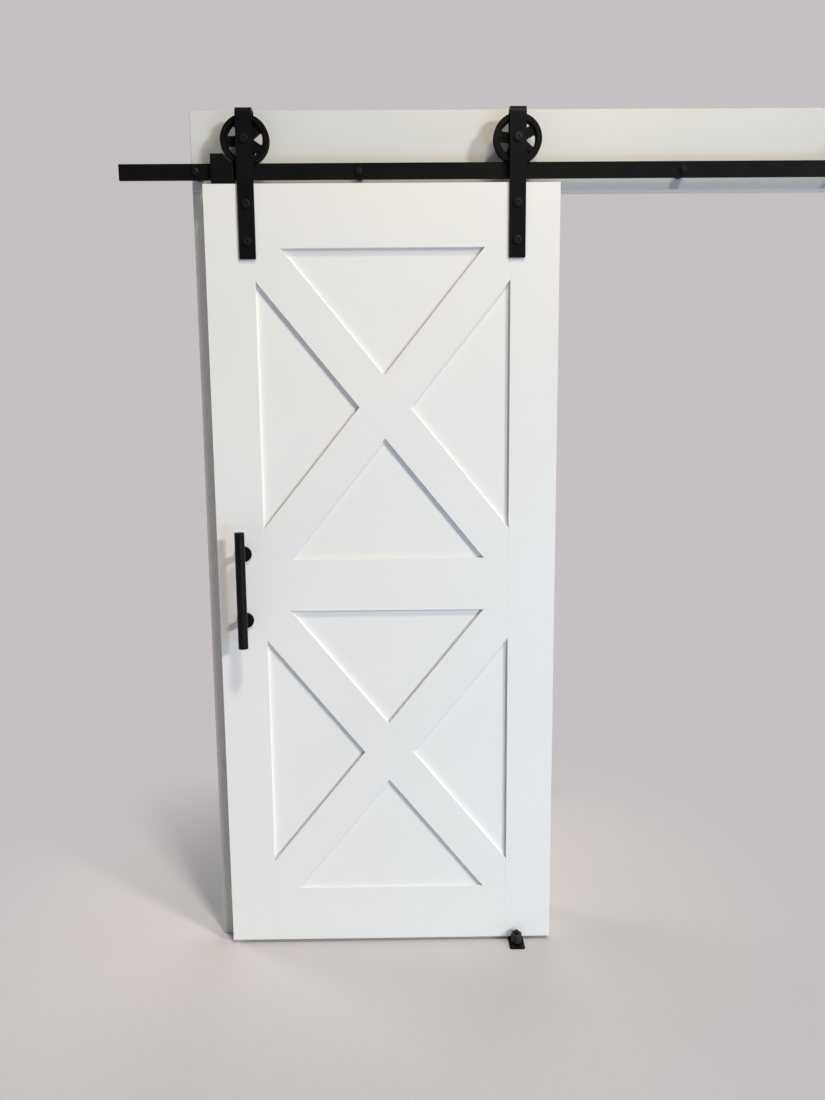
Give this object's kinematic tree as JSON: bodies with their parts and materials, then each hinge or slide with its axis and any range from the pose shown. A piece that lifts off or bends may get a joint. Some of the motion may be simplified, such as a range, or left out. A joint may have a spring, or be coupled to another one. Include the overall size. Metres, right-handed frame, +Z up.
{
  "type": "sliding barn door",
  "caption": "Framed white door with two crossed-brace fields, hung from spoked wheels on a black flat rail, with header board, cased opening, pull and floor guide",
  "frame": {"origin": "on the floor and on the wall's face, below the middle of the closed door", "axes": "+X along the wall towards the side the door opens to, +Y into the wall, +Z up"},
  "size_m": [2.057, 0.2762, 2.315],
  "materials": {
    "door_paint": "satin white paint on a wooden door",
    "trim_paint": "satin white paint on boards",
    "black_steel": "satin black powder coat on steel",
    "black_pull": "satin black coat on the pull handle",
    "black_fastener": "black oxide on steel fasteners",
    "bearing_steel": "ground bearing steel",
    "bumper_rubber": "black rubber pad",
    "roller_nylon": "black nylon roller"
  },
  "bodies": {
    "frame": {"header_board": "trim_paint", "casing_left": "trim_paint", "casing_right": "trim_paint", "jamb_left": "trim_paint", "jamb_right": "trim_paint", "head_jamb": "trim_paint", "rail": "black_steel", "rail_spacers": "black_steel", "rail_washers": "black_fastener", "rail_lag_screws": "black_fastener", "end_stop_left": "black_steel", "end_stop_right": "black_steel", "stop_bumper_left": "bumper_rubber", "stop_bumper_right": "bumper_rubber", "stop_set_screws": "black_fastener", "guide_base": "black_steel", "guide_axles": "black_fastener", "guide_washers": "black_fastener", "guide_cap_nuts": "black_fastener", "floor_screws": "black_fastener"},
    "door": {"stile_left": "door_paint", "stile_right": "door_paint", "top_rail": "door_paint", "mid_rail": "door_paint", "bottom_rail": "door_paint", "upper_brace_falling": "door_paint", "upper_brace_rising": "door_paint", "lower_brace_falling": "door_paint", "lower_brace_rising": "door_paint", "upper_panel_top": "door_paint", "upper_panel_bottom": "door_paint", "upper_panel_left": "door_paint", "upper_panel_right": "door_paint", "lower_panel_top": "door_paint", "lower_panel_bottom": "door_paint", "lower_panel_left": "door_paint", "lower_panel_right": "door_paint", "hanger_left": "black_steel", "hanger_right": "black_steel", "door_bolts": "black_fastener", "door_bolt_washers": "black_fastener", "door_bolt_nuts": "black_fastener", "axle_left": "black_fastener", "axle_right": "black_fastener", "axle_spacers": "black_fastener", "axle_nuts": "black_fastener", "bearing_inner_left": "bearing_steel", "bearing_inner_right": "bearing_steel", "pull_bar": "black_pull", "pull_posts": "black_pull", "pull_rosettes": "black_pull", "pull_screws": "black_fastener"},
    "left_wheel": {"wheel_left": "black_steel", "bearing_outer_left": "bearing_steel"},
    "right_wheel": {"wheel_right": "black_steel", "bearing_outer_right": "bearing_steel"},
    "front_roller": {"guide_roller_front": "roller_nylon"},
    "back_roller": {"guide_roller_back": "roller_nylon"}
  },
  "joints": [
    {"name": "door_slide", "type": "slide", "parent": "frame", "child": "door", "axis": [1, 0, 0], "range_m": [0, 0.775]},
    {"name": "left_wheel_spin", "type": "hinge", "parent": "door", "child": "left_wheel", "pos_m": [-0.3472, -0.079, 2.203], "axis": [0, 1, 0], "range_deg": [0, 799]},
    {"name": "right_wheel_spin", "type": "hinge", "parent": "door", "child": "right_wheel", "pos_m": [0.3472, -0.079, 2.203], "axis": [0, 1, 0], "range_deg": [0, 799]},
    {"name": "front_roller_spin", "type": "hinge", "parent": "frame", "child": "front_roller", "pos_m": [0.3605, -0.1083, 0.0185], "axis": [0, 0, 1], "range_deg": [-2962, 0]},
    {"name": "back_roller_spin", "type": "hinge", "parent": "frame", "child": "back_roller", "pos_m": [0.3605, -0.0427, 0.0185], "axis": [0, 0, 1], "range_deg": [0, 2962]}
  ],
  "couplings": [
    {"joint": "left_wheel_spin", "follows": "door_slide", "rad_per_m": 17.953},
    {"joint": "right_wheel_spin", "follows": "door_slide", "rad_per_m": 17.953},
    {"joint": "front_roller_spin", "follows": "door_slide", "rad_per_m": -66.667},
    {"joint": "back_roller_spin", "follows": "door_slide", "rad_per_m": 66.667}
  ]
}
